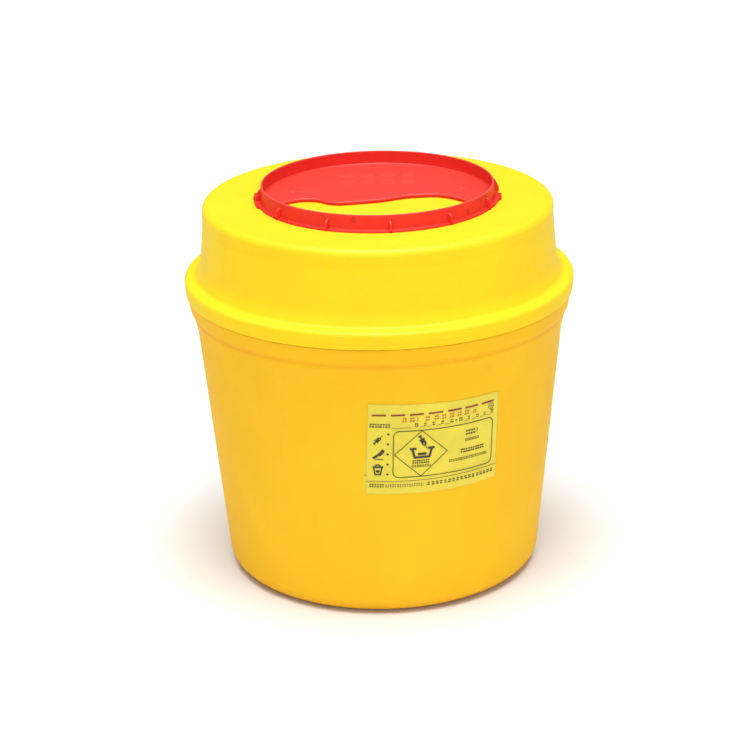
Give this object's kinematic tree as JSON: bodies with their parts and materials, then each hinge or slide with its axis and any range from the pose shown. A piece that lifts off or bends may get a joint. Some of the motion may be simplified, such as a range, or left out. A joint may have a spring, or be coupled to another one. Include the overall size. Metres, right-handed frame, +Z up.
{
  "type": "sharps container",
  "caption": "Round tapered plastic bucket with a deep press-fit lid and a turning ring closure whose half disc opens or shuts a fill aperture, for used needles and blades.",
  "frame": {"origin": "on the axis, at the plane that the foot ring rests on", "axes": "+Z up the axis from the foot to the closure, -Y towards the side that carries the stickers, +X to the right seen from that side"},
  "size_m": [0.22, 0.22, 0.2246],
  "materials": {
    "bucket_plastic": "semi-gloss moulded polypropylene, golden yellow",
    "lid_plastic": "semi-gloss moulded polypropylene, lemon yellow",
    "closure_plastic": "gloss moulded polypropylene, bright red",
    "sticker_paper": null
  },
  "bodies": {
    "bucket": {"bucket": "bucket_plastic", "label": "sticker_paper", "label_under": "sticker_paper"},
    "lid": {"lid": "lid_plastic"},
    "closure": {"closure": "closure_plastic"}
  },
  "joints": [
    {"name": "lid_lift", "type": "slide", "parent": "bucket", "child": "lid", "axis": [0, 0, 1], "range_m": [0, 0.12]},
    {"name": "closure_turn", "type": "hinge", "parent": "lid", "child": "closure", "pos_m": [0, 0, 0.2157], "axis": [0, 0, 1], "range_deg": [0, 180]}
  ]
}
